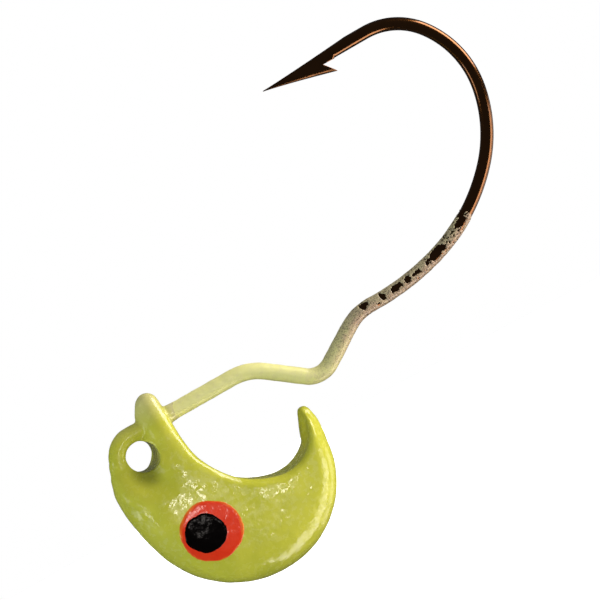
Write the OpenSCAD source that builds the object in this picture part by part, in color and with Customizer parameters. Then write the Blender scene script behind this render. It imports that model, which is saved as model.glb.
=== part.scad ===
// Jig head: a crescent-shaped lead casting on a long-shank wire hook, powder painted, with painted eyes.
// The frame starts at the middle of the line eye. +X runs along the straight shank towards the bend,
// +Z points to the side that the hook's point is on, and Y is the thickness.

/* [Hook wire] */
// Diameter of the bare wire
wire_d = 1.0; // [0.9:0.05:1.1]
// Radius of the line eye, to the middle of the wire
eye_r = 1.72; // [1.68:0.02:1.8]
// How far the wire wraps round the line eye
eye_turn = 285; // [270:5:290]
// Length of the straight shank, from above the eye to the first offset bend
shank_len = 8.8; // [8:0.1:10]

/* [Offset in the shank] */
// Radius of the bend that drops away from the shank
drop_r = 4.17; // [3:0.1:6]
// Angle of that bend
drop_turn = 36; // [30:1:40]
// Straight wire after it
drop_len = 3.1; // [2:0.1:4]
// Radius of the tight bend at the bottom of the offset
knee_r = 1.86; // [1.5:0.02:3]
// Angle of that bend
knee_turn = 68.8; // [60:0.2:75]
// Straight wire after it
rise_len = 3.06; // [2:0.02:4]
// Radius of the bend that starts the round part of the hook
rise_r = 4.06; // [3:0.02:6]
// Angle of that bend
rise_turn = 34; // [30:1:40]

/* [Round bend] */
// Radius at the start of the round bend
bend_r = 20; // [16:0.5:24]
// How much tighter each arc is than the one before it
bend_ratio = 0.716; // [0.68:0.002:0.76]
// Angles of the first four arcs
bend_turns = [17.1, 31.9, 33.6, 48.8]; // [10:0.1:60]
// Angle of the last arc, which sets the way the point looks
last_turn = 49.8; // [46:0.2:54]

/* [Point] */
// Straight wire between the bend and the point
spear_len = 1.5; // [1:0.1:3]
// Length of the ground point
point_len = 7.3; // [6:0.1:9]
// How far the barb stands off the middle of the wire
barb_h = 1.36; // [0.9:0.02:1.6]
// From the start of the point to the tip of the barb
barb_back = 1.8; // [1.4:0.1:2.4]

/* [Casting, over the paint] */
// Thickness at the middle of the crescent
head_t = 4.9; // [4.2:0.1:5.6]
// Radius of the crowned sides
crown_r = 60; // [45:5:90]
// Radius of the round edge of the rim
edge_r = 2.6; // [2:0.1:3]
// Radius of the flattest part of the rim, below the line eye
brow_r = 16.5; // [14:0.5:20]
// Angle that it covers
brow_turn = 20.5; // [18:0.5:24]
// Radius of the belly
belly_r = 8.25; // [7.5:0.05:9]
// Angle that it covers
belly_turn = 73.7; // [65:0.5:80]
// Radius of the rim up to the free horn
horn_r = 7.22; // [6.5:0.02:8]
// Angle that it covers
horn_turn = 108; // [95:1:110]
// Radius of the bite on the side of the post
bite_r = 6.35; // [5.5:0.05:7]
// Angle that it covers
bite_turn = 78.7; // [70:0.5:85]
// Radius of the bite on the side of the free horn
bite_end_r = 3.14; // [2.6:0.02:3.4]
// Angle that it covers
bite_end_turn = 108; // [100:1:112]
// Radius of the edge between the bite and the sides
lip_r = 0.35; // [0.2:0.05:0.5]
// Radius of the hole through the line eye
hole_r = 1.15; // [1.12:0.01:1.2]

/* [Post around the shank] */
// Height of the post over the line eye
post_h = 3.9; // [3.4:0.1:4.4]
// Width of the post along the shank
post_w = 2.1; // [1.8:0.1:2.4]
// Thickness of the post where it leaves the crescent
post_t = 4.1; // [3.6:0.1:4.4]

/* [Paint] */
// Thickness of the powder paint
paint_t = 0.12; // [0.08:0.01:0.16]
// Thickness of the thin paint at the end of the painted wire
thin_t = 0.05; // [0.03:0.01:0.08]
// Angle of the second round arc that the thin paint reaches
ragged_turn = 27; // [20:1:31]

/* [Painted eye] */
// Radius of the red ring
iris_r = 2.4; // [2:0.1:2.6]
// Radius of the black dot
pupil_r = 1.52; // [1.2:0.02:1.8]
// Thickness of each colour
dot_t = 0.06; // [0.04:0.01:0.1]

/* [Hidden] */
$fn = 48;
wire_r = wire_d / 2;
half_t = head_t / 2;

// More than the thickness of anything that a hole goes through
past = 10;

// Each leg of the wire is [length, 0, 0] where it is straight and [0, radius, turn] where it bends.
function straight(length) = [length, 0, 0];
offset_legs = [[0, drop_r, -drop_turn], straight(drop_len), [0, knee_r, knee_turn], straight(rise_len),
    [0, rise_r, -rise_turn]];
bend_legs = [for (i = [0:3]) [0, bend_r * pow(bend_ratio, i), bend_turns[i]]];
last_legs = [[0, bend_r * pow(bend_ratio, 4), last_turn], straight(spear_len)];
ragged_legs = [bend_legs[0], [0, bend_legs[1][1], ragged_turn]];

// Holes through the thin paint, as [distance from its start, radius]
windows = [[3.6, 0.32], [5.2, 0.4], [6.8, 0.3], [8.1, 0.42], [9.3, 0.3], [10.3, 0.34]];

// Middle of the post along the shank, which is also where the two coats of the wire part
post_x = 2.17;

// Middle of the crown, and the middles of the two dots
crown_at = [3, -7];
iris_at = [1.45, -7.2];
pupil_at = [1.0, -7.1];

// Gap at each joint of the wire, which a ball that much larger than the wire closes
hair = 0.01;

// Where the rim and the bite start, both going down, and the arcs of each as [middle, radius, from, turn]
rim_at = [-3.19, -1.53];
bite_at = [3.21, 0.07];
belly_from = 180 + brow_turn;
horn_from = belly_from + belly_turn;
brow_mid = rim_at + [brow_r, 0];
belly_mid = brow_mid + (brow_r - belly_r) * [cos(belly_from), sin(belly_from)];
horn_mid = belly_mid + (belly_r - horn_r) * [cos(horn_from), sin(horn_from)];
rim = [[brow_mid, brow_r, 180, brow_turn], [belly_mid, belly_r, belly_from, belly_turn],
    [horn_mid, horn_r, horn_from, horn_turn]];
bite_mid = bite_at + [bite_r, 0];
end_from = 180 + bite_turn;
end_mid = bite_mid + (bite_r - bite_end_r) * [cos(end_from), sin(end_from)];
bite = [[bite_mid, bite_r, 180, bite_turn], [end_mid, bite_end_r, end_from, bite_end_turn]];
stations = 40;
across = 10;

BRONZE = "#3a2213";
LEAD = "#8b8e92";
CHARTREUSE = "#c3c83f";
THIN = "#a9a884";
RED = "#e8401e";
BLACK = "#0b0808";

// ---- Helpers ----

// Puts a drawing of the XZ plane on that plane, with its height along -Y
module side_on() { rotate([90, 0, 0]) children(); }

// One leg of round wire, from the origin along +X, a hair short so that only the ball after it joins it
module leg(l, r) {
    if (l[1] == 0) rotate([0, 90, 0]) translate([0, 0, hair]) cylinder(r = r, h = l[0] - 2 * hair);
    else {
        play = hair / l[1] * 180 / PI;
        side = l[2] > 0 ? 1 : -1;
        from = l[2] > 0 ? -90 : 90 + l[2];
        translate([0, 0, side * l[1]]) side_on()
            rotate_extrude(angle = abs(l[2]) - 2 * play, start = from + play)
            translate([l[1], 0]) circle(r);
    }
}

// Moves its children to the end of a leg
module after(l) {
    rise = (l[2] > 0 ? 1 : -1) * l[1] * (1 - cos(l[2]));
    translate([l[0] + l[1] * sin(abs(l[2])), 0, rise]) rotate([0, -l[2], 0]) children();
}

// A run of legs, one after the other, with a ball at each joint; its child goes on the end
module run(legs, r, i = 0) {
    if (i < len(legs)) {
        leg(legs[i], r);
        after(legs[i]) {
            sphere(r + hair);
            run(legs, r, i + 1) children();
        }
    } else children();
}

module on_shank() { translate([0, 0, eye_r]) children(); }

// Moves its children to the end of the offset, where the round bend starts
module on_offset() { on_shank() translate([shank_len, 0, 0]) after_all(offset_legs) children(); }

// Moves its children to the end of a run of legs
module after_all(legs, i = 0) {
    if (i < len(legs)) after(legs[i]) after_all(legs, i + 1) children();
    else children();
}

// Moves its children a distance along a bend
module along(l, distance) {
    turn = distance / l[1] * 180 / PI;
    after([0, l[1], turn]) children();
}

// ---- Hook ----

// The ground point, along +X from the end of the wire, with its sliced barb on the +Z side
module point() {
    tip_r = 0.03;
    root = barb_back + 0.7;
    rotate([0, 90, 0]) cylinder(r1 = wire_r, r2 = tip_r, h = point_len);
    polyhedron([[point_len - 0.2, 0, 0], [barb_back, 0, barb_h], [root, -0.2, 0.54], [root, 0.2, 0.54],
        [root + 0.9, -0.28, 0], [root + 0.9, 0.28, 0]],
        [[0, 2, 1], [0, 4, 2], [0, 1, 3], [0, 3, 5], [1, 2, 3], [2, 4, 5, 3], [0, 5, 4]]);
}

module line_eye(r) {
    side_on() rotate_extrude(angle = eye_turn, start = 90) translate([eye_r, 0]) circle(r);
}

module wire() {
    line_eye(wire_r);
    on_shank() {
        sphere(wire_r + hair);
        run(concat([straight(shank_len)], offset_legs, bend_legs, last_legs), wire_r) point();
    }
}

// ---- Casting ----

// A point on a chain of arcs, a distance along it, with the arcs' radii changed by grow
function on_arcs(arcs, d, grow, i = 0) =
    let (a = arcs[i], own = a[1] * a[3] * PI / 180)
    d <= own || i == len(arcs) - 1
        ? a[0] + (a[1] + grow) * [cos(a[2] + d / a[1] * 180 / PI), sin(a[2] + d / a[1] * 180 / PI)]
        : on_arcs(arcs, d - own, grow, i + 1);

function arcs_len(arcs) = [for (a = arcs) a[1] * a[3] * PI / 180] * [for (a = arcs) 1];

// How far a quarter circle of radius r has risen at a depth d from its edge, from 0 to 1
function rise(d, r) = sqrt(1 - pow(1 - min(d / r, 1), 2));

// Half the crescent's thickness, at the place p, between the depths to the rim and to the bite
function half_at(p, to_rim, to_bite, inset) =
    let (off = p - crown_at, crown = half_t - inset - off * off / (2 * crown_r))
    crown * rise(to_rim, edge_r) - lip_r * (1 - rise(to_bite, lip_r));

// One ring of points round the crescent's section, a share s of the way along it
function section(s, inset) =
    let (o = on_arcs(rim, s * arcs_len(rim), -inset), b = on_arcs(bite, s * arcs_len(bite), inset),
        w = norm(o - b))
    [for (k = [-across:across])
        let (t = abs(k) == across ? 0 : abs(k) == across - 1 ? min(0.4, 0.5 * lip_r / w)
            : cos(90 * abs(k) / (across - 1)), p = b + t * (o - b),
            y = half_at(p, (1 - t) * w, t * w, inset))
        [p[0], sign(k) * y, p[1]]];

module crescent(inset) {
    count = 2 * across + 1;
    // the lead stops short of the paint at both ends, and more so at the thin tip of the horn
    start = inset / arcs_len(rim);
    end = 1 - 4 * start;
    points = [for (i = [0:stations]) each section(start + (end - start) * i / stations, inset)];
    sides = [for (i = [0:stations - 1], k = [0:count - 1])
        let (a = i * count + k, b = i * count + (k + 1) % count)
        each [[a, b + count, b], [a, a + count, b + count]]];
    first = [for (k = [0:count - 1]) k];
    last = [for (k = [count - 1:-1:0]) stations * count + k];
    polyhedron(points, concat(sides, [first, last]));
}

// The post that the shank runs through
module post(inset) {
    r = post_w / 2;
    top_r = 0.9;
    lean = 0.1;
    spread = post_t / 2 - r;
    hull() {
        for (side = [-1, 1]) {
            translate([post_x, side * spread, -2.2]) sphere(r - inset, $fn = 24);
            translate([post_x, side * (spread - lean), 0.8]) sphere(r - inset, $fn = 24);
        }
        translate([post_x + lean, 0, post_h - top_r]) sphere(top_r - inset, $fn = 24);
    }
}

// The lead that runs up from the rim to the line eye and the foot of the post
module brow(inset) {
    r = post_w / 2;
    tall = 0.6;
    hull() {
        translate([rim_at[0] + half_t, 0, rim_at[1] - tall]) cylinder(r = half_t - inset, h = tall, $fn = 32);
        for (side = [-1, 1])
            translate([post_x, side * (post_t / 2 - r), rim_at[1] - 0.2]) sphere(r - inset, $fn = 24);
        translate([-1.85, 0, -0.1]) sphere(0.64 - inset, $fn = 24);
        translate([1.9, 0, 0.3]) sphere(1.2 - inset, $fn = 24);
    }
}

module hole(r) { side_on() cylinder(r = r, h = 2 * past, center = true); }

// The whole casting, with its surface set in from the painted surface by inset
module casting(inset) {
    crescent(inset);
    brow(inset);
    post(inset);
}

module bare_lead() {
    difference() {
        casting(paint_t);
        hole(hole_r + paint_t);
    }
}

// ---- Sub-parts ----

module hook() { color(BRONZE) wire(); }

module lead_head() {
    color(LEAD) difference() {
        bare_lead();
        wire();
    }
}

module head_paint() {
    color(CHARTREUSE) difference() {
        casting(0);
        hole(hole_r);
        bare_lead();
        wire();
    }
}

module eye_paint() {
    r = wire_r + paint_t;
    color(CHARTREUSE) difference() {
        union() {
            line_eye(r);
            on_shank() {
                sphere(r + hair);
                leg(straight(post_x), r);
            }
        }
        hole(hole_r);
        casting(0);
        wire();
    }
}

module shank_paint() {
    color(CHARTREUSE) difference() {
        on_shank() translate([post_x, 0, 0])
            run(concat([straight(shank_len - post_x)], offset_legs), wire_r + paint_t);
        casting(0);
        wire();
    }
}

// Thin paint where the coat runs out, with the holes that show bare wire
module ragged_paint() {
    first_len = bend_legs[0][1] * bend_legs[0][2] * PI / 180;
    color(THIN) difference() {
        on_offset() difference() {
            run(ragged_legs, wire_r + thin_t);
            for (w = windows) {
                if (w[0] < first_len) along(bend_legs[0], w[0]) hole(w[1]);
                else after(bend_legs[0]) along(bend_legs[1], w[0] - first_len) hole(w[1]);
            }
        }
        wire();
        on_shank() translate([shank_len, 0, 0]) run(offset_legs, wire_r + paint_t);
    }
}

// A round dot of colour on one side, following the crescent's surface, lifted by what lies under it
module dot(side, at, r, lift) {
    difference() {
        intersection() {
            translate([at[0], side * past / 2, at[1]]) side_on() cylinder(r = r, h = past, center = true);
            crescent(-lift - dot_t);
        }
        crescent(-lift);
    }
}

module iris(side) { color(RED) dot(side, iris_at, iris_r, 0); }
module pupil(side) { color(BLACK) dot(side, pupil_at, pupil_r, dot_t); }

module iris_left() { iris(1); }
module iris_right() { iris(-1); }
module pupil_left() { pupil(1); }
module pupil_right() { pupil(-1); }

hook();
lead_head();
head_paint();
eye_paint();
shank_paint();
ragged_paint();
iris_left();
iris_right();
pupil_left();
pupil_right();
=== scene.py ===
# %% [markdown]
# # A painted jig head, from the wire to the last dot of enamel
# A jig head is a fish hook with a lump of lead cast round one end. This one has a crescent of lead under
# the shank, a coat of bright powder paint, and a painted eye on each side. The measured model comes first
# and is never moved: everything here is built round it, in its own frame, with +X along the straight
# shank.

# %% Load the measured model
import math
import bmesh
import bpy
import numpy as np
from mathutils import Matrix, Vector, noise
from mathutils.bvhtree import BVHTree


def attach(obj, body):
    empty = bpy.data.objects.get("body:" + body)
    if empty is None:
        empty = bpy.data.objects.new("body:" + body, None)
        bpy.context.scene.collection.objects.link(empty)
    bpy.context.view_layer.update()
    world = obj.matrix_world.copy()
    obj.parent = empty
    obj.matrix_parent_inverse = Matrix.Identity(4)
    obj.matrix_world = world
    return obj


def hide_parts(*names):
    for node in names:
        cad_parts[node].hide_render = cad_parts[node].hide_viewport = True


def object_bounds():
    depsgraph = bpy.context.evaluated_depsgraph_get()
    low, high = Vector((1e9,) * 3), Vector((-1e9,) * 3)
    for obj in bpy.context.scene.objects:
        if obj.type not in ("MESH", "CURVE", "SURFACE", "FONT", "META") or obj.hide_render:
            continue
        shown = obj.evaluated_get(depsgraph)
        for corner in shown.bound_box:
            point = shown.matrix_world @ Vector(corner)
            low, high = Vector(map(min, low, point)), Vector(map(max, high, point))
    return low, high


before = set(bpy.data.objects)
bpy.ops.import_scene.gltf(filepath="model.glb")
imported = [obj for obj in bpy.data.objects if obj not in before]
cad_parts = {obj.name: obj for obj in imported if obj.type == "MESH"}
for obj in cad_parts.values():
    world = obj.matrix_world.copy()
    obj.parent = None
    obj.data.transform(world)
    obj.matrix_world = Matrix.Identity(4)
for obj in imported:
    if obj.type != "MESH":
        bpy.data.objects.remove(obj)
cad_low, cad_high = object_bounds()
MM = 0.001
print("nodes:", sorted(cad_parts))
print("size in mm:", [round(v / MM, 1) for v in cad_high - cad_low])

# %% [markdown]
# ## The camera
# The head is seen from its right side, and a little from ahead, with the picture rolled so that the shank
# runs uphill. A long lens far away keeps the thin wire the same width all along. Its three directions are
# worked out from two angles, so the studio lights can be placed in the same directions afterwards.

# %% Place the camera
ROLL = math.radians(29)
SWING = math.radians(12)
to_right = Vector((math.cos(SWING) * math.cos(ROLL), -math.sin(SWING), -math.cos(SWING) * math.sin(ROLL)))
to_top = Vector((math.sin(ROLL), 0, math.cos(ROLL)))
to_camera = to_right.cross(to_top)
MIDDLE, NUDGE_RIGHT, NUDGE_UP = Vector((16.2, 0, 4.2)), -0.09, 0.03
aim = (MIDDLE + to_right * NUDGE_RIGHT + to_top * NUDGE_UP) * MM
FIELD = 44.6 * MM
LENS, SENSOR = 300, 36

lens_data = bpy.data.cameras.new("long_lens")
lens_data.lens, lens_data.sensor_width = LENS, SENSOR
lens_data.clip_start, lens_data.clip_end = 0.01, 10
camera = bpy.data.objects.new("camera", lens_data)
bpy.context.scene.collection.objects.link(camera)
turned = Matrix((to_right, to_top, to_camera)).transposed().to_4x4()
camera.matrix_world = Matrix.Translation(aim + to_camera * FIELD * LENS / SENSOR) @ turned
bpy.context.scene.camera = camera
print("camera stands off", round((camera.matrix_world.translation - aim).length, 3), "m")

# %% [markdown]
# ## The studio
# A round wire mirrors a lamp only where the lamp lies square to it, so one small lamp would light one
# short piece of the bend. The long glint that follows the hook round needs lamps that stand one after
# another: a tall strip on the right, a second strip above it, and a box behind the set that catches the
# far edge. A small strip on the left draws the second glint inside the bend. Three small lamps make the
# flecks on the gloss of the head, and broad panels fill the paint with soft light. The panels are left
# out of reflections, because the dark wire would mirror them from end to end.

# %% Light the object
def soft_box(name, direction, distance, across, up, radiance, tint, mirrored=True):
    """A rectangular light, aimed at the object from a direction given as right, top and to the camera."""
    data = bpy.data.lights.new(name, "AREA")
    data.shape, data.size, data.size_y = "RECTANGLE", across, up
    data.energy, data.color = radiance * math.pi * across * up, tint
    box = bpy.data.objects.new(name, data)
    bpy.context.scene.collection.objects.link(box)
    away = (to_right * direction[0] + to_top * direction[1] + to_camera * direction[2]).normalized()
    sideways = to_top.cross(away).normalized()
    faced = Matrix((sideways, away.cross(sideways), away)).transposed().to_4x4()
    box.matrix_world = Matrix.Translation(aim + away * distance) @ faced
    box.visible_camera = False
    box.visible_glossy = mirrored
    return box


LAMP_AWAY, PANEL_AWAY = 0.40, 0.50
WARM, PLAIN, COOL = (1.0, 0.92, 0.86), (1.0, 1.0, 1.0), (0.68, 0.90, 1.0)
# Each as its name, its direction, its width and height in metres, its radiance and its tint
STRIPS = [("strip_right", (0.907, -0.385, 0.17), 0.20, 0.54, 6.5, WARM),
          ("strip_top_right", (0.68, 0.72, -0.04), 0.22, 0.26, 11.0, WARM),
          ("box_behind", (0.91, -0.10, -0.40), 0.16, 0.30, 2.4, WARM),
          ("strip_left", (-0.837, -0.483, 0.26), 0.10, 0.20, 4.5, PLAIN)]
GLINTS = [("glint_front", (0.24, -0.02, 0.97), 0.04, 0.036, 20.0, WARM),
          ("glint_right", (0.49, 0.05, 0.87), 0.03, 0.03, 22.0, WARM),
          ("glint_low_left", (-0.52, -0.52, 0.68), 0.05, 0.05, 16.0, WARM)]
PANELS = [("panel_front", (0.45, 0.15, 0.88), 0.40, 0.40, 1.6, PLAIN),
          ("panel_right", (0.88, 0.20, 0.42), 0.30, 0.30, 0.9, WARM),
          ("panel_low_left", (-0.60, -0.75, 0.30), 0.40, 0.40, 2.4, COOL),
          ("panel_back", (-0.35, 0.50, -0.80), 0.40, 0.40, 2.4, PLAIN)]
for label, direction, *rest in STRIPS:
    soft_box(label, direction, LAMP_AWAY, *rest)
glints = [soft_box(label, direction, LAMP_AWAY, *rest) for label, direction, *rest in GLINTS]
for label, direction, *rest in PANELS:
    soft_box(label, direction, PANEL_AWAY, *rest, mirrored=False)
print("lights:", len(bpy.data.lights))

# %% [markdown]
# ## Two helpers for every material
# A shader is a tree of small nodes. One function adds a node with its settings and its links, so that
# each line below reads as one step of the recipe. The other turns the hex colour that a paint chart gives
# into the linear colour that a renderer needs.

# %% Define the node and colour helpers
def add(tree, kind, inputs=None, **settings):
    """Adds one node; each input is either a value or the output socket of the node that feeds it."""
    made = tree.nodes.new(kind)
    for name, value in settings.items():
        setattr(made, name, value)
    for key, value in (inputs or {}).items():
        if isinstance(value, bpy.types.NodeSocket):
            tree.links.new(value, made.inputs[key])
        else:
            made.inputs[key].default_value = value
    return made


def colour(code):
    """The linear RGBA of an sRGB hex colour."""
    parts = [int(code[i : i + 2], 16) / 255 for i in (0, 2, 4)]
    return [c / 12.92 if c <= 0.04045 else ((c + 0.055) / 1.055) ** 2.4 for c in parts] + [1]


print("mid grey 808080 is", round(colour("808080")[0], 3), "in linear light")

# %% [markdown]
# ## The room and the paper
# Three rays may ask what the room looks like, and each gets its own answer. The camera sees white, matt
# paint is lit by a pale grey, and a polished surface mirrors a much darker grey, so that the wire stays
# nearly black. The floor is matt paper that glows a little, so that it is as white as the backdrop and
# shows no edge against it.

# %% Paint the room
world = bpy.data.worlds.new("white_studio")
world.use_nodes = True
bpy.context.scene.world = world
bpy.context.scene.view_settings.view_transform = "Standard"
sky = world.node_tree
sky.nodes.clear()
seen = add(sky, "ShaderNodeLightPath")
walls = add(sky, "ShaderNodeBackground", {"Color": colour("E4ECEF"), "Strength": 0.30})
dim = add(sky, "ShaderNodeBackground", {"Color": colour("E4E6EA"), "Strength": 0.11})
paper = add(sky, "ShaderNodeBackground", {"Color": colour("FFFFFF"), "Strength": 1.0})
lit = add(sky, "ShaderNodeMixShader",
          {0: seen.outputs["Is Glossy Ray"], 1: walls.outputs[0], 2: dim.outputs[0]})
both = add(sky, "ShaderNodeMixShader",
           {0: seen.outputs["Is Camera Ray"], 1: lit.outputs[0], 2: paper.outputs[0]})
add(sky, "ShaderNodeOutputWorld", {"Surface": both.outputs[0]})
print("the room has", len(sky.nodes), "nodes")

# %% Lay the paper under the object
def new_material(name):
    """A new material, its tree, and the Object coordinates that its patterns are laid out on."""
    made = bpy.data.materials.new(name)
    made.use_nodes = True
    made.node_tree.nodes.clear()
    return made, made.node_tree, add(made.node_tree, "ShaderNodeTexCoord").outputs["Object"]


def per(size_mm):
    """The pattern scale whose features are about this many millimetres across."""
    return 1 / (size_mm * MM)


floor_paper, tree, place = new_material("matt_white_card")
tooth = add(tree, "ShaderNodeTexNoise", {"Vector": place, "Scale": per(1.5), "Detail": 4.0})
# A Mix node takes its two colours at sockets 6 and 7, and gives the mixed colour at output 2
shade = add(tree, "ShaderNodeMix", {0: tooth.outputs[0], 6: colour("F4F4F1"), 7: colour("FAFAF8")},
            data_type="RGBA")
sheet = add(tree, "ShaderNodeBsdfPrincipled", {"Base Color": shade.outputs[2], "Roughness": 0.9,
                                               "Emission Color": colour("FFFFFF"), "Emission Strength": 0.7})
add(tree, "ShaderNodeOutputMaterial", {"Surface": sheet.outputs[0]})

FLOOR_DROP, FLOOR_RADIUS = 0.045, 0.42
disc = bmesh.new()
bmesh.ops.create_circle(disc, cap_ends=True, radius=FLOOR_RADIUS, segments=96)
bmesh.ops.translate(disc, verts=disc.verts, vec=(aim.x, 0, cad_low.z - FLOOR_DROP))
floor_mesh = bpy.data.meshes.new("floor")
disc.to_mesh(floor_mesh)
disc.free()
floor_mesh.materials.append(floor_paper)
floor = bpy.data.objects.new("floor", floor_mesh)
bpy.context.scene.collection.objects.link(floor)
floor.visible_glossy = floor.visible_diffuse = False
print("the paper lies", round((cad_low.z - FLOOR_DROP) / MM), "mm from the line eye's height")

# %% [markdown]
# ## The line that the wire follows
# A bent wire is a chain of straight legs and round bends. Walking along the chain, and keeping the place
# and the heading, gives any point of it from one number: how far along the wire it is. That number is
# also kept on the finished meshes, because the paint thins and wears away along the wire.

# %% Walk along the wire
WIRE_R = 0.5
EYE_R = 1.72
SHANK = 8.8
OFFSET = [("bend", 4.17, -36), ("leg", 3.1), ("bend", 1.86, 68.8), ("leg", 3.06), ("bend", 4.06, -34)]
ROUND_TURNS = [17.1, 31.9, 33.6, 48.8, 50.7]
ROUND_R, ROUND_RATIO = 20, 0.716
SPEAR, POINT = 1.5, 7.4
EYE_TURN = 285

round_bend = [("bend", ROUND_R * ROUND_RATIO**i, turn) for i, turn in enumerate(ROUND_TURNS)]
chain = [("bend", EYE_R, -EYE_TURN), ("leg", SHANK), *OFFSET, *round_bend, ("leg", SPEAR)]


def leg_length(leg):
    """Length of one leg of the chain."""
    return leg[1] if leg[0] == "leg" else leg[1] * math.radians(abs(leg[2]))


def on_wire(distance):
    """Place (x, z) and heading on the wire's middle line, a distance along it from its start in the eye."""
    heading = math.radians(EYE_TURN)
    x, z = -EYE_R * math.sin(heading), EYE_R * math.cos(heading)
    for leg in chain:
        step = min(distance, leg_length(leg))
        if leg[0] == "leg":
            x, z = x + step * math.cos(heading), z + step * math.sin(heading)
        else:
            turn = math.copysign(step / leg[1], leg[2])
            side = math.copysign(leg[1], leg[2])
            x += side * (math.sin(heading + turn) - math.sin(heading))
            z -= side * (math.cos(heading + turn) - math.cos(heading))
            heading += turn
        distance -= step
        if distance <= 0:
            break
    return x, z, heading


EYE_END = leg_length(chain[0])
BEND_START = EYE_END + SHANK + sum(leg_length(leg) for leg in OFFSET)
WIRE_END = sum(leg_length(leg) for leg in chain)
print("wire:", round(WIRE_END, 1), "mm, and its round bend starts at", round(BEND_START, 1))
for label, distance in (("the eye closes", EYE_END), ("the point starts", WIRE_END)):
    print(label, "at x, z =", [round(v, 2) for v in on_wire(distance)[:2]])

# %% [markdown]
# ## One tree for every length of wire and coat
# The bare wire and each coat of paint on it are the same thing: a round section swept along part of that
# line. Geometry Nodes does that with a handful of nodes, and one tree with named inputs serves them all.
# The lumps are noise along the surface normal. Only the paint on the eye and the stub has them, because a
# dipped coat never lies perfectly even, while drawn wire is smooth.

# %% Build the sweeping tree
sweep = bpy.data.node_groups.new("wire_along_a_line", "GeometryNodeTree")
sweep.interface.new_socket("Geometry", in_out="INPUT", socket_type="NodeSocketGeometry")
SWEEP_INPUTS = {}
for label, kind in (("Radius", "Float"), ("Spacing", "Float"), ("Sides", "Int"), ("Lump height", "Float"),
                    ("Lump size", "Float"), ("Seed", "Float"), ("Finish", "Material")):
    socket = sweep.interface.new_socket(label, in_out="INPUT", socket_type="NodeSocket" + kind)
    SWEEP_INPUTS[label] = socket.identifier
sweep.interface.new_socket("Geometry", in_out="OUTPUT", socket_type="NodeSocketGeometry")

given = add(sweep, "NodeGroupInput").outputs
line = add(sweep, "GeometryNodeMeshToCurve", {0: given["Geometry"]})
even = add(sweep, "GeometryNodeResampleCurve", {"Curve": line.outputs[0], "Length": given["Spacing"]},
           mode="LENGTH")
ring = add(sweep, "GeometryNodeCurvePrimitiveCircle",
           {"Resolution": given["Sides"], "Radius": given["Radius"]})
tube = add(sweep, "GeometryNodeCurveToMesh", {"Curve": even.outputs[0], "Profile Curve": ring.outputs[0]})
spot = add(sweep, "GeometryNodeInputPosition")
fine = add(sweep, "ShaderNodeMath", {0: 1.0, 1: given["Lump size"]}, operation="DIVIDE")
lumps = add(sweep, "ShaderNodeTexNoise",
            {"Vector": spot.outputs[0], "W": given["Seed"], "Scale": fine.outputs[0], "Detail": 3.0},
            noise_dimensions="4D")
about = add(sweep, "ShaderNodeMath", {0: lumps.outputs[0], 1: 0.5}, operation="SUBTRACT")
height = add(sweep, "ShaderNodeMath", {0: about.outputs[0], 1: given["Lump height"]}, operation="MULTIPLY")
outward = add(sweep, "GeometryNodeInputNormal")
push = add(sweep, "ShaderNodeVectorMath", {0: outward.outputs[0], "Scale": height.outputs[0]},
           operation="SCALE")
moved = add(sweep, "GeometryNodeSetPosition", {"Geometry": tube.outputs[0], "Offset": push.outputs[0]})
smooth = add(sweep, "GeometryNodeSetShadeSmooth", {0: moved.outputs[0]})
single = add(sweep, "GeometryNodeRealizeInstances", {0: smooth.outputs[0]})
dressed = add(sweep, "GeometryNodeSetMaterial", {"Geometry": single.outputs[0], "Material": given["Finish"]})
add(sweep, "NodeGroupOutput", {0: dressed.outputs[0]})


GUIDE_STEP = 0.05


def swept(start, end, material, **sizes):
    """The plain mesh, in mm, of a round section swept along the wire's line between two distances."""
    count = math.ceil((end - start) / GUIDE_STEP)
    distances = [start + (end - start) * i / count for i in range(count + 1)]
    guide = bpy.data.meshes.new("guide")
    places = [on_wire(d) for d in distances]
    guide.from_pydata([(x, 0, z) for x, z, _ in places], [(i, i + 1) for i in range(count)], [])
    guide.attributes.new("along", "FLOAT", "POINT").data.foreach_set("value", distances)
    carrier = bpy.data.objects.new("carrier", guide)
    bpy.context.scene.collection.objects.link(carrier)
    modifier = carrier.modifiers.new("sweep", "NODES")
    modifier.node_group = sweep
    modifier[SWEEP_INPUTS["Finish"]] = material
    for label, value in sizes.items():
        modifier[SWEEP_INPUTS[label.replace("_", " ").capitalize()]] = value
    plain = bpy.data.meshes.new_from_object(carrier.evaluated_get(bpy.context.evaluated_depsgraph_get()))
    bpy.data.objects.remove(carrier)
    bpy.data.meshes.remove(guide)
    return plain


def close_ends(shape):
    """Caps each open end with one flat face, and turns every face outwards."""
    rims = [e for e in shape.edges if e.is_boundary]
    bmesh.ops.holes_fill(shape, edges=rims, sides=0)
    bmesh.ops.recalc_face_normals(shape, faces=shape.faces)


def finished(name, mesh, material, replaced):
    """Makes a piece in metres from a mesh in mm, attaches it to the root body, and hides the parts it
    replaces.
    """
    mesh.transform(Matrix.Scale(MM, 4))
    mesh.name = name
    mesh.materials.clear()
    mesh.materials.append(material)
    mesh.shade_smooth()
    piece = bpy.data.objects.new(name, mesh)
    bpy.context.scene.collection.objects.link(piece)
    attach(piece, "root")
    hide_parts(*replaced)
    print(name, "has", sum(len(p.vertices) - 2 for p in mesh.polygons), "triangles")
    return piece


print("the sweeping tree takes", ", ".join(SWEEP_INPUTS))

# %% [markdown]
# ## Bronzed carbon steel
# Hooks of this kind are carbon steel under a brown lacquer. The lacquer drinks most of the light, so the
# wire is nearly black where it mirrors the dim room, and glows copper only where it mirrors a lamp. That
# is a metal with a very dark orange-brown colour, a fairly tight gloss, and a thin clear coat that
# whitens the glint.

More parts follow.
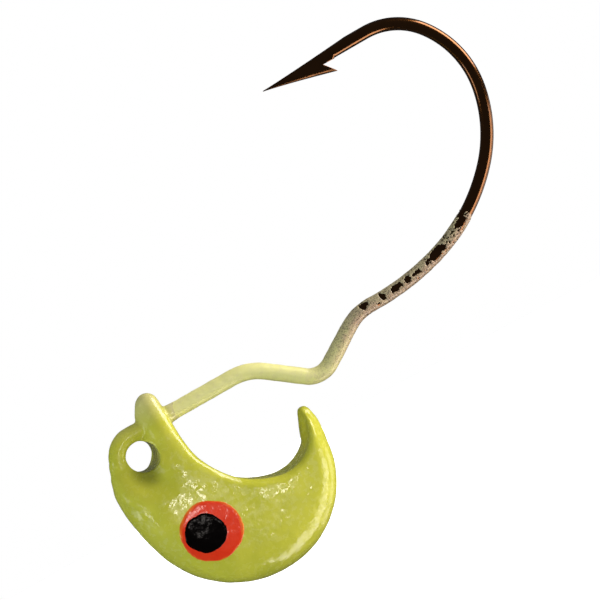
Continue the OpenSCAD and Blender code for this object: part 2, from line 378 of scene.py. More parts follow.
# %% Mix the bronze
POLISHED, DULLED = 0.16, 0.26
bronze, tree, place = new_material("bronzed_carbon_steel")
cloud = add(tree, "ShaderNodeTexNoise", {"Vector": place, "Scale": per(0.9), "Detail": 5.0})
speck = add(tree, "ShaderNodeTexNoise", {"Vector": place, "Scale": per(0.12), "Detail": 2.0})
brown = add(tree, "ShaderNodeMix", {0: cloud.outputs[0], 6: colour("52300F"), 7: colour("6A421C")},
            data_type="RGBA")
dull = add(tree, "ShaderNodeMapRange", {0: speck.outputs[0], 1: 0.35, 2: 0.7, 3: POLISHED, 4: DULLED})
grain = add(tree, "ShaderNodeBump", {"Strength": 0.25, "Distance": 0.01 * MM, "Height": speck.outputs[0]})
steel = add(tree, "ShaderNodeBsdfPrincipled", {"Base Color": brown.outputs[2], "Metallic": 1.0,
                                               "Roughness": dull.outputs[0], "Normal": grain.outputs[0],
                                               "Coat Weight": 0.35, "Coat Roughness": 0.1})
add(tree, "ShaderNodeOutputMaterial", {"Surface": steel.outputs[0]})
print("bronze is a metal with roughness", POLISHED, "to", DULLED)

# %% [markdown]
# ## The hook and its ground point
# The wire is one sweep from the line eye to the end of the round bend. The point could be a second piece,
# but a real hook has no seam there, so its last ring of vertices is drawn out into the point instead,
# ring by ring: the section grows a keel on the inner side, and then runs out to the tip.

# %% Sweep the wire and draw out its point
BARB_BACK, BARB_H = 1.68, 1.46
KEEL_START, KEEL_OVER, KEEL_PINCH = 1.45, 0.03, 0.3
BACK_TAPER, KEEL_TAPER, SIDE_TAPER = 1.25, 1.1, 0.8
TIP_R = 0.035

wire_mesh = swept(0, WIRE_END, bronze, radius=WIRE_R, spacing=0.14, sides=40)
hook = bmesh.new()
hook.from_mesh(wire_mesh)
along = hook.verts.layers.float["along"]
end_x, end_z, end_heading = on_wire(WIRE_END)
forward = Vector((math.cos(end_heading), 0, math.sin(end_heading)))
inner = Vector((-math.sin(end_heading), 0, math.cos(end_heading)))
joint = Vector((end_x, 0, end_z))
rim = [v for v in hook.verts if v.is_boundary and v[along] > WIRE_END - 1]
rim.sort(key=lambda v: math.atan2(v.co.y, (v.co - joint).dot(inner)))
angles = [math.atan2(v.co.y, (v.co - joint).dot(inner)) for v in rim]


def point_section(s):
    """Back edge, keel edge and half width of the point, a distance s along it."""
    left = max(0.0, 1 - s / POINT)
    ease = min(max(0, s - KEEL_START) / (BARB_BACK - KEEL_START), 1) ** 2
    back = TIP_R + (WIRE_R - TIP_R) * left ** BACK_TAPER
    keel_line = TIP_R + (BARB_H - TIP_R) * (max(0, POINT - s) / (POINT - BARB_BACK)) ** KEEL_TAPER
    keel = WIRE_R + (min(keel_line, BARB_H + KEEL_OVER) - WIRE_R) * (ease if s < BARB_BACK else 1)
    half = TIP_R + (WIRE_R - TIP_R) * left ** SIDE_TAPER
    return back, keel, half


RINGS = 56
previous = rim
for i in range(1, RINGS + 1):
    s = POINT * (i / RINGS)
    back, keel, half = point_section(s)
    ring_verts = []
    for angle in angles:
        reach = (keel - back) / 2 + (keel + back) / 2 * math.cos(angle)
        pinch = 1 - KEEL_PINCH * max(0, math.cos(angle)) ** 2 * min(1, max(0, keel - WIRE_R) / 0.5)
        place_at = joint + forward * s + inner * reach + Vector((0, half * math.sin(angle) * pinch, 0))
        made = hook.verts.new(place_at)
        made[along] = WIRE_END + s
        ring_verts.append(made)
    for k in range(len(ring_verts)):
        j = (k + 1) % len(ring_verts)
        hook.faces.new((previous[k], previous[j], ring_verts[j], ring_verts[k]))
    previous = ring_verts
close_ends(hook)
hook_mesh = bpy.data.meshes.new("hook_wire")
hook.to_mesh(hook_mesh)
hook.free()
print("the point has", RINGS, "rings and is", POINT, "mm long")

# %% [markdown]
# ## The barb
# A hook maker raises the barb with one slanting cut. Here the cut is a wedge between the wire and the
# keel, open towards the bend, and a boolean takes it out of the hook. What is left of the keel is the
# barb.

# %% Cut the barb
CUT_BACK, CUT_DEEP = 2.5, 0.49
CUT_START, CUT_SLOPE, CUT_CLEAR = -0.6, 0.07, 1

cutter = bmesh.new()
corners = [(CUT_BACK, CUT_DEEP), (BARB_BACK, BARB_H), (BARB_BACK, BARB_H + CUT_CLEAR),
           (CUT_START, BARB_H + CUT_CLEAR), (CUT_START, CUT_DEEP + CUT_SLOPE)]
near, far = ([cutter.verts.new(joint + forward * s + inner * n + Vector((0, y, 0))) for s, n in corners]
             for y in (-1, 1))
cutter.faces.new(near)
cutter.faces.new(far[::-1])
for k in range(len(corners)):
    j = (k + 1) % len(corners)
    cutter.faces.new((near[j], near[k], far[k], far[j]))
bmesh.ops.recalc_face_normals(cutter, faces=cutter.faces)
wedge_mesh = bpy.data.meshes.new("wedge")
cutter.to_mesh(wedge_mesh)
cutter.free()


def cut(mesh, tool_mesh):
    """The mesh with the tool's solid taken out of it."""
    body, tool = bpy.data.objects.new("body", mesh), bpy.data.objects.new("tool", tool_mesh)
    for one in (body, tool):
        bpy.context.scene.collection.objects.link(one)
    modifier = body.modifiers.new("cut", "BOOLEAN")
    modifier.operation, modifier.solver, modifier.object = "DIFFERENCE", "EXACT", tool
    left = bpy.data.meshes.new_from_object(body.evaluated_get(bpy.context.evaluated_depsgraph_get()))
    for one in (body, tool):
        bpy.data.objects.remove(one)
    return left


hook_mesh = cut(hook_mesh, wedge_mesh)
finished("hook_wire", hook_mesh, bronze, ["hook"])

# %% [markdown]
# ## The painted casting
# Lead is poured round the wire in a two-part mould, so the crescent, the brow at the line eye and the
# post that the shank leaves from are one lump, and the paint rounds every corner between them. Each lump
# is first drawn by the rule that shapes it. They are then welded by a voxel remesh and smoothed, which is
# the quick way to get the soft fillets that melted paint leaves. Modelling those fillets by hand would
# take far longer.

# %% Shape the crescent by its rule
HALF_T = 2.45
CROWN_AT, CROWN_R = Vector((3, -7)), 60
EDGE_R, LIP_R = 2.6, 0.35
RIM_AT, RIM = Vector((-3.19, -1.53)), [(16.5, 20.5), (8.25, 73.7), (7.22, 108)]
BITE_AT, BITE = Vector((3.21, 0.07)), [(6.35, 78.7), (3.14, 108)]
STATIONS, ACROSS = 150, 26


def arcs_from(start, sizes):
    """A chain of arcs that run on smoothly, going down from a place: each as (middle, radius, from, turn)."""
    arcs, angle, middle = [], math.pi, start + Vector((sizes[0][0], 0))
    for i, (radius, turn) in enumerate(sizes):
        if i:
            shift = sizes[i - 1][0] - radius
            middle = middle + Vector((math.cos(angle), math.sin(angle))) * shift
        arcs.append((middle, radius, angle, math.radians(turn)))
        angle += math.radians(turn)
    return arcs


def on_arcs(arcs, share):
    """The place a share of the way along a chain of arcs."""
    left = share * sum(radius * turn for _, radius, _, turn in arcs)
    for middle, radius, angle, turn in arcs:
        if left <= radius * turn or turn == arcs[-1][3]:
            at = angle + left / radius
            return middle + Vector((math.cos(at), math.sin(at))) * radius
        left -= radius * turn


def risen(depth, radius):
    """How far a quarter circle has risen at a depth from its edge, from 0 to 1."""
    return math.sqrt(max(0, 1 - (1 - min(depth / radius, 1)) ** 2))


def half_at(place_at, to_rim, to_bite):
    """Half the crescent's thickness at a place, from its distances to the rim and to the bite."""
    crown = HALF_T - (place_at - CROWN_AT).length_squared / (2 * CROWN_R)
    return crown * risen(to_rim, EDGE_R) - LIP_R * (1 - risen(to_bite, LIP_R))


rim_arcs, bite_arcs = arcs_from(RIM_AT, RIM), arcs_from(BITE_AT, BITE)
crescent = bmesh.new()
rows = []
for i in range(STATIONS + 1):
    outer, inner_edge = on_arcs(rim_arcs, i / STATIONS), on_arcs(bite_arcs, i / STATIONS)
    width = (outer - inner_edge).length
    row = []
    for k in range(-ACROSS, ACROSS + 1):
        t = 0 if abs(k) == ACROSS else math.cos(math.pi / 2 * (abs(k) / ACROSS) ** 0.9)
        at = inner_edge.lerp(outer, t)
        y = half_at(at, (1 - t) * width, t * width)
        row.append(crescent.verts.new((at.x, math.copysign(y, k) if k else 0, at.y)))
    rows.append(row)
for one, other in zip(rows, rows[1:]):
    for k in range(len(one)):
        j = (k + 1) % len(one)
        crescent.faces.new((one[k], one[j], other[j], other[k]))
for row in (rows[0], rows[-1]):
    crescent.faces.new(row)
bmesh.ops.recalc_face_normals(crescent, faces=crescent.faces)
crescent_mesh = bpy.data.meshes.new("crescent")
crescent.to_mesh(crescent_mesh)
crescent.free()
print("crescent runs from", tuple(round(v, 2) for v in RIM_AT), "with", STATIONS, "sections")

# %% [markdown]
# ## The post, the brow and the horn's tip
# These are blunt lumps with no flat face, so each is the skin stretched over a few balls, as if a sheet
# of rubber were pulled over marbles. A voxel remesh welds them to the crescent, and the corners where
# they meet are softened by moving each vertex towards its neighbours, most near the post and hardly at
# all elsewhere.

# %% Weld the lumps on and soften the corners
POST_X, POST_H, POST_R, POST_SPREAD = 2.17, 3.9, 1.05, 1.0
PAINT_T = 0.12
HOLE_R = 1.15


def hull_of(name, balls):
    """The skin stretched over some balls, each given as its place and radius."""
    shell = bmesh.new()
    for place_at, radius in balls:
        bmesh.ops.create_icosphere(shell, subdivisions=3, radius=radius, matrix=Matrix.Translation(place_at))
    skin = bmesh.ops.convex_hull(shell, input=shell.verts)
    bmesh.ops.delete(shell, geom=[v for v in skin["geom_interior"] if isinstance(v, bmesh.types.BMVert)])
    bmesh.ops.recalc_face_normals(shell, faces=shell.faces)
    mesh = bpy.data.meshes.new(name)
    shell.to_mesh(mesh)
    shell.free()
    return mesh


post_balls = [((POST_X + 0.1, 0, POST_H - 0.8), 0.9), ((POST_X - 0.4, 0, 2.2), 0.95)]
brow_balls = [((-1.8, 0, -0.1), 0.8), ((-2.05, 0, -0.8), 0.92), ((1.9, 0, 0.3), 1.2)]
horn_balls = [((12.33, 0, -3.1), 0.52), ((12.28, 0, -4.15), 0.8), ((12.12, 0, -4.75), 0.92),
              ((11.96, 0, -5.5), 1.0)]
for side in (-1, 1):
    post_balls += [((POST_X, side * POST_SPREAD, -2.2), POST_R),
                   ((POST_X, side * (POST_SPREAD - 0.1), 0.8), POST_R)]
    brow_balls += [((POST_X, side * POST_SPREAD, RIM_AT.y - 0.2), POST_R)]
    brow_balls += [((-0.74 + across, side * (HALF_T - 1.0 - 0.5 * abs(across)), RIM_AT.y - 0.6), 1.0)
                   for across in (-1.25, -0.5, 0.5)]


def joined(meshes):
    """One mesh that holds several closed ones."""
    every = bmesh.new()
    for mesh in meshes:
        every.from_mesh(mesh)
    together = bpy.data.meshes.new("together")
    every.to_mesh(together)
    every.free()
    return together


def remeshed(mesh, voxel):
    """The outer skin of a mesh of overlapping solids, in even quads."""
    body = bpy.data.objects.new("body", mesh)
    bpy.context.scene.collection.objects.link(body)
    modifier = body.modifiers.new("weld", "REMESH")
    modifier.mode, modifier.voxel_size = "VOXEL", voxel
    skin = bpy.data.meshes.new_from_object(body.evaluated_get(bpy.context.evaluated_depsgraph_get()))
    bpy.data.objects.remove(body)
    return skin


def points_of(mesh):
    """A mesh's vertices as an array."""
    values = np.empty(len(mesh.vertices) * 3)
    mesh.vertices.foreach_get("co", values)
    return values.reshape(-1, 3)


def melt(mesh, steps, weight=1):
    """Moves every vertex towards the middle of its neighbours, by each step in turn. A step below 0 moves
    it back out, so that corners round off while the whole keeps its size."""
    ends = np.empty(len(mesh.edges) * 2, int)
    mesh.edges.foreach_get("vertices", ends)
    a, b = ends.reshape(-1, 2).T
    count = np.bincount(np.concatenate((a, b)), minlength=len(mesh.vertices))[:, None]
    at = points_of(mesh)
    for step in steps:
        sums = [np.bincount(a, at[b, i], len(at)) + np.bincount(b, at[a, i], len(at)) for i in range(3)]
        at += step * weight * (np.stack(sums, 1) / count - at)
    mesh.vertices.foreach_set("co", at.ravel())
    mesh.update()


def eased(value, low, high):
    """From 0 at low to 1 at high, with soft ends; high may be the lower of the two."""
    t = np.clip((value - low) / (high - low), 0, 1)
    return t * t * (3 - 2 * t)


LEAD_VOXEL, SOFTENING = 0.16, [0.5] * 60
hulls = [hull_of("post", post_balls), hull_of("brow", brow_balls), hull_of("horn_tip", horn_balls)]
lead = remeshed(joined([crescent_mesh, *hulls]), LEAD_VOXEL)
x, y, z = points_of(lead).T
from_hole = np.hypot(x, z)
# Full softening round the foot of the post, less of it near the top, and a touch at the horn's tip
from_post = np.hypot(x - 0.6, z + 0.9)
soft_here = eased(from_post, 4.6, 2.2) * (0.3 + 0.7 * eased(z, 2.4, 0.6))
soft_here = np.maximum(soft_here, 0.12 * eased(np.hypot(x - 12.3, z + 4), 3, 1.5))
melt(lead, SOFTENING, soft_here[:, None])

# The mould thins the lead towards the line eye, on every side but the post's
THINNING = 0.34
at = points_of(lead)
away_from_post = eased(-at[:, 0] / np.maximum(from_hole, 0.01), -0.75, 0.1)
at[:, 1] *= 1 - THINNING * away_from_post * eased(from_hole, 3.7, 1.0)
lead.vertices.foreach_set("co", at.ravel())
lead.update()
print("cast lead:", len(lead.polygons), "quads")

# %% [markdown]
# Where the paint meets the wire it climbs a little way up it. A sleeve round the line eye, and a tapered
# sleeve where the shank leaves the post, are welded on before the last, finer remesh, so that the same
# smoothing draws a small fillet round each. The hole for the line goes through before that smoothing too,
# so that its mouth gets the rounded lip that paint gives it. A small web fills the corner between the eye
# and the brow.

# %% Weld on the painted wire, bore the hole and melt the corners
VOXEL, ROUNDING = 0.09, [0.5, -0.53] * 30
STUB_END, STUB_SWELL, STUB_TAPER = 5.6, 1.2, 0.34
FILLET = 0.07
web_balls = [((-1.97, 0, 0.25), 0.52), ((-2.08, 0, -0.7), 0.7)]
lumpy = {"lump_height": 0.04, "lump_size": 0.9, "seed": 2.0}
eye_coat = swept(0, EYE_END + POST_X, bronze, radius=WIRE_R + PAINT_T + FILLET, spacing=0.1, sides=40,
                 **lumpy)
stub = swept(EYE_END + POST_X, EYE_END + STUB_END, bronze, radius=WIRE_R + PAINT_T, spacing=0.1, sides=40,
             **lumpy)
for vertex in stub.vertices:
    share = (vertex.co.x - POST_X) / (STUB_END - POST_X)
    swell = STUB_SWELL - STUB_TAPER * share
    vertex.co.y *= swell
    vertex.co.z = EYE_R + (vertex.co.z - EYE_R) * swell

bore = bmesh.new()
sideways = Matrix.Rotation(math.pi / 2, 4, "X")
bmesh.ops.create_cone(bore, cap_ends=True, segments=96, radius1=HOLE_R, radius2=HOLE_R, depth=12,
                      matrix=sideways)
bore_mesh = bpy.data.meshes.new("bore")
bore.to_mesh(bore_mesh)
bore.free()
web = hull_of("web", web_balls)
for mesh in (eye_coat, stub):
    part = bmesh.new()
    part.from_mesh(mesh)
    close_ends(part)
    part.to_mesh(mesh)
    part.free()
drilled = [cut(mesh, bore_mesh) for mesh in (lead, eye_coat, stub, web)]
painted = remeshed(joined(drilled), VOXEL)
melt(painted, ROUNDING)
print("painted skin:", len(painted.polygons), "quads")

# %% [markdown]
# ## Chartreuse powder paint
# The casting is heated and dipped in a tub of powder, which melts into a thick, hard, glossy skin. It is
# a polyester with a strong yellow-green pigment. The eye reads three things in it: the colour shifts a
# little where the coat is thicker, the gloss is broken into small flecks because the melted powder never
# quite levels out, and a few dark specks of dust are baked in. The flecks are a bump pattern of about a
# quarter of a millimetre, over a slow swell that is moved into the mesh itself. A dark patch just under
# the line eye's hole is painted shade: it stands in for the shadow in the recess there.

# %% Mix the powder paint
FLECK, RIPPLE = 0.22, 0.9
PAINT_BUMP, ENAMEL_BUMP = 0.38, 0.4
# The middle of the painted shade under the line eye's hole
HOLE_SHADE_AT = Vector((-0.35, 0, -1.05))


def paint_bump(tree, place, strength):
    """The gloss pattern that the powder leaves: fine flecks over a coarser ripple."""
    fleck = add(tree, "ShaderNodeTexNoise", {"Vector": place, "Scale": per(FLECK), "Detail": 1.5})
    ripple = add(tree, "ShaderNodeTexNoise", {"Vector": place, "Scale": per(RIPPLE), "Detail": 1.0})
    sum_up = add(tree, "ShaderNodeMath", {0: fleck.outputs[0], 1: ripple.outputs[0]}, operation="ADD")
    return add(tree, "ShaderNodeBump",
               {"Strength": strength, "Distance": 0.03 * MM, "Height": sum_up.outputs[0]})


powder_paint, tree, place = new_material("chartreuse_polyester_powder_paint")
pool = add(tree, "ShaderNodeTexNoise", {"Vector": place, "Scale": per(3.2), "Detail": 3.0})
tone = add(tree, "ShaderNodeMapRange", {0: pool.outputs[0], 1: 0.35, 2: 0.65})
deep = add(tree, "ShaderNodeMix", {0: tone.outputs[0], 6: colour("BABB3A"), 7: colour("CAC844")},
           data_type="RGBA")
where = add(tree, "ShaderNodeSeparateXYZ", {0: place})
up_post = add(tree, "ShaderNodeMapRange", {0: where.outputs["Z"], 1: 1.6 * MM, 2: 3.8 * MM, 3: 0.0, 4: 0.65})
off_post = add(tree, "ShaderNodeMapRange", {0: where.outputs["X"], 1: 2.9 * MM, 2: 3.8 * MM})
on_shank = add(tree, "ShaderNodeMapRange", {0: where.outputs["Z"], 1: 0.4 * MM, 2: 1.2 * MM})
on_stub = add(tree, "ShaderNodeMath", {0: off_post.outputs[0], 1: on_shank.outputs[0]}, operation="MULTIPLY")
thin_here = add(tree, "ShaderNodeMath", {0: up_post.outputs[0], 1: on_stub.outputs[0]}, operation="MAXIMUM")
yellowish = add(tree, "ShaderNodeMix", {0: thin_here.outputs[0], 6: deep.outputs[2], 7: colour("D6CE98")},
                data_type="RGBA")
dust = add(tree, "ShaderNodeTexVoronoi", {"Vector": place, "Scale": per(2.6), "Randomness": 1.0})
rare = add(tree, "ShaderNodeMapRange", {0: dust.outputs["Distance"], 1: 0.016, 2: 0.03, 3: 0.75, 4: 0.0})
# Painted shade: a darker olive patch just under the line eye's hole, where the recess lies in shadow
hole_shade_offset = add(tree, "ShaderNodeVectorMath", {0: place, 1: HOLE_SHADE_AT * MM}, operation="SUBTRACT")
flat = add(tree, "ShaderNodeVectorMath", {0: hole_shade_offset.outputs[0], 1: (1, 0, 1)}, operation="MULTIPLY")
hole_shade_far = add(tree, "ShaderNodeVectorMath", {0: flat.outputs[0]}, operation="LENGTH")
painted_hole_shade = add(tree, "ShaderNodeMapRange",
             {0: hole_shade_far.outputs["Value"], 1: 0.35 * MM, 2: 1.5 * MM, 3: 0.75, 4: 0.0},
             interpolation_type="SMOOTHSTEP")
hole_shaded = add(tree, "ShaderNodeMix", {0: painted_hole_shade.outputs[0], 6: yellowish.outputs[2], 7: colour("6C701C")},
            data_type="RGBA")
specked = add(tree, "ShaderNodeMix", {0: rare.outputs[0], 6: hole_shaded.outputs[2], 7: colour("4A4A14")},
              data_type="RGBA")
mottle = add(tree, "ShaderNodeTexNoise", {"Vector": place, "Scale": per(0.35), "Detail": 4.0})
gloss = add(tree, "ShaderNodeMapRange", {0: mottle.outputs[0], 1: 0.43, 2: 0.6, 3: 0.08, 4: 0.32})
level = paint_bump(tree, place, PAINT_BUMP)
skin = add(tree, "ShaderNodeBsdfPrincipled", {"Base Color": specked.outputs[2], "Roughness": gloss.outputs[0],
                                              "Normal": level.outputs[0], "Specular IOR Level": 0.45})
add(tree, "ShaderNodeOutputMaterial", {"Surface": skin.outputs[0]})
print("powder paint has", len(tree.nodes), "nodes, and flecks of", FLECK, "mm")

# %% [markdown]
# ## The paint's uneven surface
# The slow swell of the coat changes the outline as well as the gloss, so it is moved into the mesh. The
# noise is shifted so that it mostly presses inwards, which keeps the head inside its measured size.

# %% Swell the skin and hand over the painted head
SWELL, SPECK, SWELL_H, INWARDS = 1.3, 0.45, 0.022, 0.4


def swell_out(mesh, height, seed):
    """Moves a mesh in and out along its normals by slow noise, mostly inwards, so it never grows."""
    normals = np.empty(len(mesh.vertices) * 3)
    mesh.vertices.foreach_get("normal", normals)
    normals = normals.reshape(-1, 3)
    at = points_of(mesh)
    shift = Vector((seed, seed, seed))
    rise = [noise.noise(Vector(p) / SWELL + shift) + 0.5 * noise.noise(Vector(p) / SPECK + shift) for p in at]
    at += normals * (height * (np.array(rise) - INWARDS))[:, None]
    mesh.vertices.foreach_set("co", at.ravel())
    mesh.update()


swell_out(painted, SWELL_H, 3)
painted_at = BVHTree.FromPolygons([v.co for v in painted.vertices], [p.vertices for p in painted.polygons])
painted_head = finished("painted_head", painted.copy(), powder_paint,
                        ["head_paint", "eye_paint"])

# %% [markdown]
# ## The lead under the paint
# Nothing of the casting shows, but it is what the head is made of, so it stays as a piece of its own. It
# is the painted skin moved in by the thickness of the coat. Cast lead is a soft grey metal with a dull,
# slightly crystalline skin, and that is what would show if the paint chipped.

# %% Make the lead core
cast_lead, tree, place = new_material("gravity_cast_lead")
crystal = add(tree, "ShaderNodeTexVoronoi", {"Vector": place, "Scale": per(0.8)})
grey = add(tree, "ShaderNodeMix", {0: crystal.outputs["Distance"], 6: colour("7E8286"), 7: colour("9A9DA0")},
           data_type="RGBA")
dented = add(tree, "ShaderNodeBump",
             {"Strength": 0.3, "Distance": 0.02 * MM, "Height": crystal.outputs["Distance"]})
metal = add(tree, "ShaderNodeBsdfPrincipled",
            {"Base Color": grey.outputs[2], "Metallic": 1.0, "Roughness": 0.5, "Normal": dented.outputs[0]})
add(tree, "ShaderNodeOutputMaterial", {"Surface": metal.outputs[0]})

core = cut(lead, bore_mesh)
at = points_of(core)
for i, p in enumerate(at):
    surface, normal, _, _ = painted_at.find_nearest(Vector(p))
    depth = (Vector(p) - surface).dot(normal)
    if depth > -PAINT_T:
        at[i] = surface - normal * PAINT_T
core.vertices.foreach_set("co", at.ravel())
core.update()
finished("lead_core", core, cast_lead, ["lead_head"])

# %% [markdown]
# ## The coat that runs out along the wire
# When the hot casting is dipped, some powder also takes on the wire. Near the head it is whole. Past the
# knee it thins to a grey-beige film with bare bronze showing through, and it ends in a ragged edge part
# of the way up the round bend. Cutting holes in a tube leaves saw-toothed rims, so the coat is a closed
# tube that dips just under the wire's surface wherever it is worn away, and the wire itself draws a clean
# edge to each hole.

# %% Mix the thin paint
thin_paint, tree, place = new_material("thin_worn_powder_paint")
along_wire = add(tree, "ShaderNodeAttribute", attribute_name="along").outputs["Fac"]
patchy = add(tree, "ShaderNodeTexNoise",
             {"Vector": place, "Scale": per(0.5), "Detail": 5.0, "Roughness": 0.7})
sandy = add(tree, "ShaderNodeTexNoise", {"Vector": place, "Scale": per(0.11), "Detail": 2.0})
film = add(tree, "ShaderNodeMapRange", {0: along_wire, 1: 22.5, 2: 29.5})
uneven = add(tree, "ShaderNodeMath", {0: patchy.outputs[0], 1: 0.5}, operation="SUBTRACT")
thinned = add(tree, "ShaderNodeMath", {0: film.outputs[0], 1: uneven.outputs[0]}, operation="ADD",
              use_clamp=True)
fresh = add(tree, "ShaderNodeMix", {0: patchy.outputs[0], 6: colour("F0EC8C"), 7: colour("FAF6AE")},
            data_type="RGBA")
outer = add(tree, "ShaderNodeAttribute", attribute_name="outer").outputs["Fac"]
mixed_side = add(tree, "ShaderNodeMath", {0: outer, 1: patchy.outputs[0]}, operation="ADD")
browner = add(tree, "ShaderNodeMapRange", {0: mixed_side.outputs[0], 1: 0.05, 2: 0.85})
worn = add(tree, "ShaderNodeMix", {0: browner.outputs[0], 6: colour("B8AA86"), 7: colour("CAA888")},
           data_type="RGBA")
coat_colour = add(tree, "ShaderNodeMix", {0: thinned.outputs[0], 6: fresh.outputs[2], 7: worn.outputs[2]},
                  data_type="RGBA")
bare_grain = add(tree, "ShaderNodeMapRange", {0: sandy.outputs[0], 1: 0.5, 2: 0.62, 3: 0.0, 4: 0.75})
pitted = add(tree, "ShaderNodeMath", {0: bare_grain.outputs[0], 1: film.outputs[0]}, operation="MULTIPLY")
grained = add(tree, "ShaderNodeMix", {0: pitted.outputs[0], 6: coat_colour.outputs[2], 7: colour("54483A")},
              data_type="RGBA")
rough = add(tree, "ShaderNodeBump", {"Strength": 0.6, "Distance": 0.02 * MM, "Height": sandy.outputs[0]})
film_skin = add(tree, "ShaderNodeBsdfPrincipled", {"Base Color": grained.outputs[2], "Roughness": 0.32,
                                                   "Normal": rough.outputs[0]})
add(tree, "ShaderNodeOutputMaterial", {"Surface": film_skin.outputs[0]})
print("thin paint has", len(tree.nodes), "nodes")

# %% [markdown]
# ## Wearing the coat away
# Each vertex of the tube is set to its own height off the wire. What takes the height down is, in turn,
# the ragged end, a fine speckle along the thin stretch, a few listed spots, and chance. Whichever
# of them leaves least paint wins.

# %% Sweep the coat and wear it away
COAT_START, COAT_END = EYE_END + 2.6, 40.4
FULL_TO, THIN_FROM, THIN_T = 26.0, 31.0, 0.05
UNDER, RAGGED, BEYOND = -0.05, 1.3, 2.2
# Worn spots on the right side, as (distance along the wire, degrees round it from that side, half lengths)
SPOTS = [(30.2, -30, 0.33, 0.3), (31.7, -23, 0.24, 0.3), (32.95, -18, 0.55, 0.26), (34.1, -15, 0.2, 0.2),
         (35.0, -13, 0.34, 0.17), (37.05, -17, 0.95, 0.34), (40.1, -10, 0.5, 0.3)]

coat = swept(COAT_START, COAT_END + BEYOND, thin_paint, radius=WIRE_R, spacing=0.06, sides=72)


def coat_height(distance, degrees, place_at):
    """How far the coat stands off the bare wire at one place on it, in mm; below 0 where it is worn away."""
    # "left" is how far inside the coat this place is: above 0 there is paint
    patch = noise.noise(place_at / 0.5) * 0.5 + noise.noise(place_at / 0.2) * 0.35
    left = COAT_END + RAGGED * noise.noise(place_at / 0.7 + Vector((7, 0, 0))) - distance + 1.1 * patch
    if distance > THIN_FROM:
        speckle = 0.8 * noise.noise(place_at / 0.17)
        left = min(left, 0.5 - 0.3 * eased(distance, THIN_FROM, COAT_END) - speckle)
    # The placed spots, each an ellipse with a frayed edge
    for spot, around, half_length, half_width in SPOTS:
        turn = (degrees - around + 180) % 360 - 180
        away = math.hypot((distance - spot) / half_length, math.radians(turn) * WIRE_R / half_width)
        left = min(left, (away - 1) * half_width + 0.34 * patch)
    # Chance wear, which grows towards the end
    chance = noise.noise(place_at / 0.7 + Vector((0, 9, 0)))
    worn_more = eased(distance, THIN_FROM - 2, COAT_END)
    left = min(left, (0.62 - 0.22 * worn_more - chance) * 0.8) if distance > THIN_FROM - 2 else left
    # The full height, which falls from the whole coat to the thin film, with a little unevenness
    full = PAINT_T + (THIN_T - PAINT_T) * eased(distance, FULL_TO, THIN_FROM)
    full += 0.018 * noise.noise(place_at / 0.6) + 0.008 * noise.noise(place_at / 0.15)
    return UNDER + (full - UNDER) * eased(left, -0.02, 0.05)


along_of = coat.attributes["along"].data
outer_of = coat.attributes.new("outer", "FLOAT", "POINT").data
for vertex in coat.vertices:
    distance = along_of[vertex.index].value
    x, z, heading = on_wire(distance)
    middle = Vector((x, 0, z))
    outer_side = Vector((math.sin(heading), 0, -math.cos(heading)))
    spoke = vertex.co - middle
    degrees = math.degrees(math.atan2(spoke.dot(outer_side), -spoke.y))
    outer_of[vertex.index].value = spoke.normalized().dot(outer_side)
    vertex.co = middle + spoke.normalized() * (WIRE_R + coat_height(distance, degrees, vertex.co))
shape = bmesh.new()
shape.from_mesh(coat)
close_ends(shape)
shape.to_mesh(coat)
shape.free()
finished("wire_coat", coat, thin_paint, ["shank_paint", "ragged_paint"])

# %% [markdown]
# ## The painted eyes
# Each eye is two drops of enamel, a red one and then a black one on top, dabbed on with a round stamp.
# The dots follow the curved head and sit a hair proud of it, with a soft shoulder where the enamel drew
# itself in, and neither is quite round. Each disc is a polar grid dropped on the painted skin along its
# normal direction, so it picks up the same ripples as the paint under it. Enamel is a hard gloss paint:
# the red stays bright right into its glints, and thins to orange where it runs out at the edge, while the
# black swallows nearly all the light.

# %% Mix the enamels
red_enamel, tree, place = new_material("red_enamel")
IRIS_AT, IRIS_R = Vector((1.64, 0, -7.13)), 2.4
centred = add(tree, "ShaderNodeMapping", {"Vector": place, "Location": -IRIS_AT * MM, "Scale": (1, 0, 1)})
reach = add(tree, "ShaderNodeVectorMath", {0: centred.outputs[0]}, operation="LENGTH")
wander = add(tree, "ShaderNodeTexNoise", {"Vector": place, "Scale": per(0.7), "Detail": 3.0})
loose = add(tree, "ShaderNodeMapRange", {0: wander.outputs[0], 1: 0.3, 2: 0.7, 3: -0.1 * MM, 4: 0.1 * MM})
edge = add(tree, "ShaderNodeMath", {0: reach.outputs["Value"], 1: loose.outputs[0]}, operation="ADD")
thin_rim = add(tree, "ShaderNodeMapRange", {0: edge.outputs[0], 1: 2.16 * MM, 2: 2.46 * MM})
red = add(tree, "ShaderNodeMix", {0: wander.outputs[0], 6: colour("DE2F12"), 7: colour("E63E1C")},
          data_type="RGBA")
fringe = add(tree, "ShaderNodeMix", {0: thin_rim.outputs[0], 6: red.outputs[2], 7: colour("E8842A")},
             data_type="RGBA")
level = paint_bump(tree, place, ENAMEL_BUMP)
enamel = add(tree, "ShaderNodeBsdfPrincipled",
             {"Base Color": fringe.outputs[2], "Roughness": 0.14, "IOR": 1.4, "Normal": level.outputs[0]})
add(tree, "ShaderNodeOutputMaterial", {"Surface": enamel.outputs[0]})

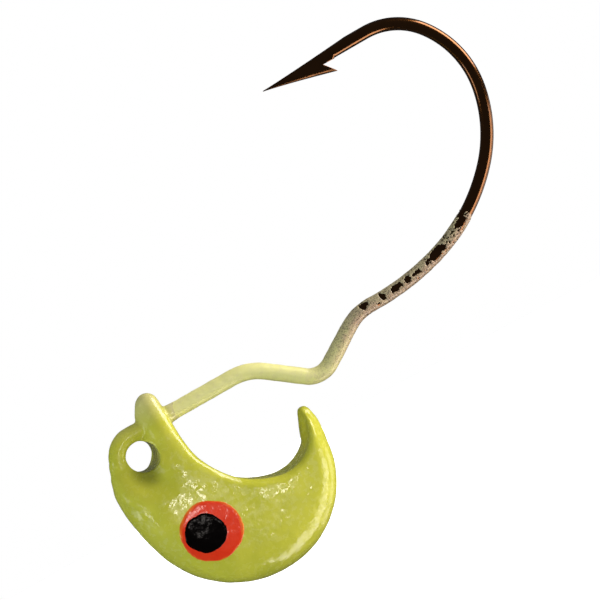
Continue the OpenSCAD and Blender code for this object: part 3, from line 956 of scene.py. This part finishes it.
black_enamel, tree, place = new_material("black_enamel")
haze = add(tree, "ShaderNodeTexNoise", {"Vector": place, "Scale": per(0.6), "Detail": 3.0})
soot = add(tree, "ShaderNodeMix", {0: haze.outputs[0], 6: colour("030202"), 7: colour("080505")},
           data_type="RGBA")
level = paint_bump(tree, place, ENAMEL_BUMP)
jet = add(tree, "ShaderNodeBsdfPrincipled", {"Base Color": soot.outputs[2], "Roughness": 0.12,
                                             "Specular IOR Level": 0.06, "Normal": level.outputs[0]})
add(tree, "ShaderNodeOutputMaterial", {"Surface": jet.outputs[0]})
print("enamels:", red_enamel.name, "and", black_enamel.name)

# %% [markdown]
# ## Stamping the dots
# A hand stamp never leaves a true circle, so each edge has a long stretch one way, a slow wobble and a
# finer one. A ray from the side finds where each point of the disc meets the paint, and the back of the
# disc lies just under it, so that no gap can show.

# %% Drop the enamel dots on the head
PUPIL_AT, PUPIL_R = Vector((1.19, 0, -7.03)), 1.57
IRIS_DRAWN, PUPIL_DRAWN = 0.985, 0.98
DOT_T, EDGE_DROP, SUNK = 0.06, 0.02, 0.05
RINGS_OUT, ROUND = 30, 120


def enamel_dot(name, side, centre, radius, under, seed, wobble, stretch):
    """One dot of enamel on one side of the head, in mm, on whatever thickness of enamel lies under it."""
    dot = bmesh.new()
    top, bottom = [], []
    for i in range(RINGS_OUT + 1):
        share = i / RINGS_OUT
        for k in range(ROUND if i else 1):
            turn = 2 * math.pi * k / ROUND
            out = Vector((math.cos(turn), 0, math.sin(turn)))
            uneven_edge = 1 + stretch * math.cos(2 * (turn + ROLL))
            uneven_edge += wobble * noise.noise(out * 1.4 + Vector((seed, 0, 0)))
            uneven_edge += 0.35 * wobble * noise.noise(out * 7 + Vector((seed, 5, 0)))
            at = centre + out * radius * share * uneven_edge
            hit, normal, _, _ = painted_at.ray_cast(at + Vector((0, side * 20, 0)), Vector((0, -side, 0)))
            crown = (1 - share**10) ** 0.5
            proud = under + (DOT_T + EDGE_DROP) * crown - EDGE_DROP
            top.append(dot.verts.new(hit + Vector((0, side * proud, 0))))
            bottom.append(dot.verts.new(hit - Vector((0, side * SUNK, 0))))
    for layer in (top, bottom):
        for k in range(ROUND):
            j = (k + 1) % ROUND
            dot.faces.new((layer[0], layer[1 + k], layer[1 + j]))
            for i in range(RINGS_OUT - 1):
                a, b = 1 + i * ROUND, 1 + (i + 1) * ROUND
                dot.faces.new((layer[a + k], layer[b + k], layer[b + j], layer[a + j]))
    outermost = 1 + (RINGS_OUT - 1) * ROUND
    for k in range(ROUND):
        j = (k + 1) % ROUND
        dot.faces.new((top[outermost + k], bottom[outermost + k], bottom[outermost + j],
                       top[outermost + j]))
    bmesh.ops.recalc_face_normals(dot, faces=dot.faces)
    mesh = bpy.data.meshes.new(name)
    dot.to_mesh(mesh)
    dot.free()
    return mesh


enamel_dots = []
for side, label in ((-1, "right"), (1, "left")):
    iris = enamel_dot("iris", side, IRIS_AT, IRIS_R * IRIS_DRAWN, 0, 2 + side, 0.05, 0.03)
    enamel_dots.append(finished("red_iris_" + label, iris, red_enamel, ["iris_" + label]))
    pupil = enamel_dot("pupil", side, PUPIL_AT, PUPIL_R * PUPIL_DRAWN, DOT_T - 0.01, 6 + side, 0.07, 0.05)
    enamel_dots.append(finished("black_pupil_" + label, pupil, black_enamel,
                                ["pupil_" + label]))

# %% [markdown]
# ## Keeping the glint lamps off the wire
# The three small lamps belong to the gloss of the head. The polished wire would show each as a stray
# line, so light linking lets them light only the painted head and its enamel.

# %% Point the glint lamps at the head only
glossy_head = bpy.data.collections.new("glossy_head")
for piece in [painted_head, *enamel_dots]:
    glossy_head.objects.link(piece)
for glint in glints:
    glint.light_linking.receiver_collection = glossy_head

# %% [markdown]
# ## The sizes
# The last step prints the box of the measured model.

# %% Print the measured model's box
print("CAD box:   ", [round(v / MM, 2) for v in (*cad_low, *cad_high)])
